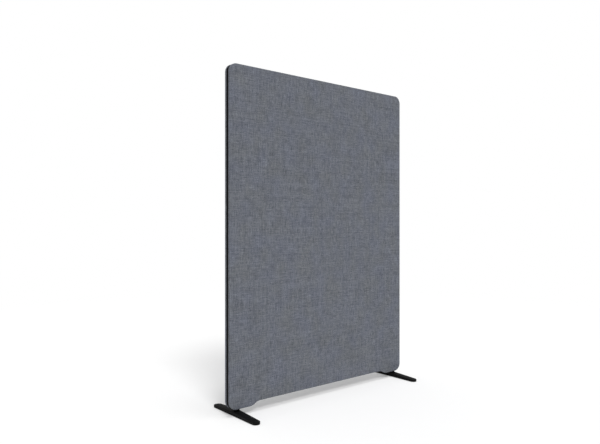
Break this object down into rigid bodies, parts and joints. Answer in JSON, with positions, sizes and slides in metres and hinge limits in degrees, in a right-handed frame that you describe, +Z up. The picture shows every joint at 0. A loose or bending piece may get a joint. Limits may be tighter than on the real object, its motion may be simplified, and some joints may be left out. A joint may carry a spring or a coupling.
{
  "type": "acoustic floor screen",
  "caption": "Free-standing acoustic divider screen: padded, cloth-covered panel with rounded corners, a black edge band and a raised lower edge, on flat bar feet.",
  "frame": {"origin": "on the floor under the middle of the panel", "axes": "+X along the panel to its right end seen from the front, +Y from the front face to the rear face, +Z up"},
  "size_m": [1.2, 0.357, 1.65],
  "materials": {
    "cloth": "woven melange wool-look cloth, blue-grey, matt",
    "padding": "thin polyester felt",
    "absorber": "pressed polyester felt slab",
    "frame_wood": "planed softwood",
    "block_wood": "birch plywood",
    "tongue_wood": "beech plywood",
    "edge_trim": "black, fine matt grain",
    "foot_metal": "black powder coat, fine texture",
    "screw_metal": "black zinc",
    "insert_metal": "turned",
    "glide_plastic": "black"
  },
  "bodies": {
    "root": {"front_cover": "cloth", "rear_cover": "cloth", "front_pad": "padding", "rear_pad": "padding", "upper_absorber": "absorber", "lower_absorber": "absorber", "left_stile": "frame_wood", "right_stile": "frame_wood", "top_rail": "frame_wood", "middle_rail": "frame_wood", "bottom_rail": "frame_wood", "left_top_corner_block": "block_wood", "right_top_corner_block": "block_wood", "left_leg_block": "block_wood", "right_leg_block": "block_wood", "frame_tongues": "tongue_wood", "upper_edge_trim": "edge_trim", "lower_edge_trim": "edge_trim", "left_foot_bar": "foot_metal", "right_foot_bar": "foot_metal", "left_foot_upright": "foot_metal", "right_foot_upright": "foot_metal", "foot_screws": "screw_metal", "threaded_inserts": "insert_metal", "foot_glides": "glide_plastic"}
  },
  "joints": []
}
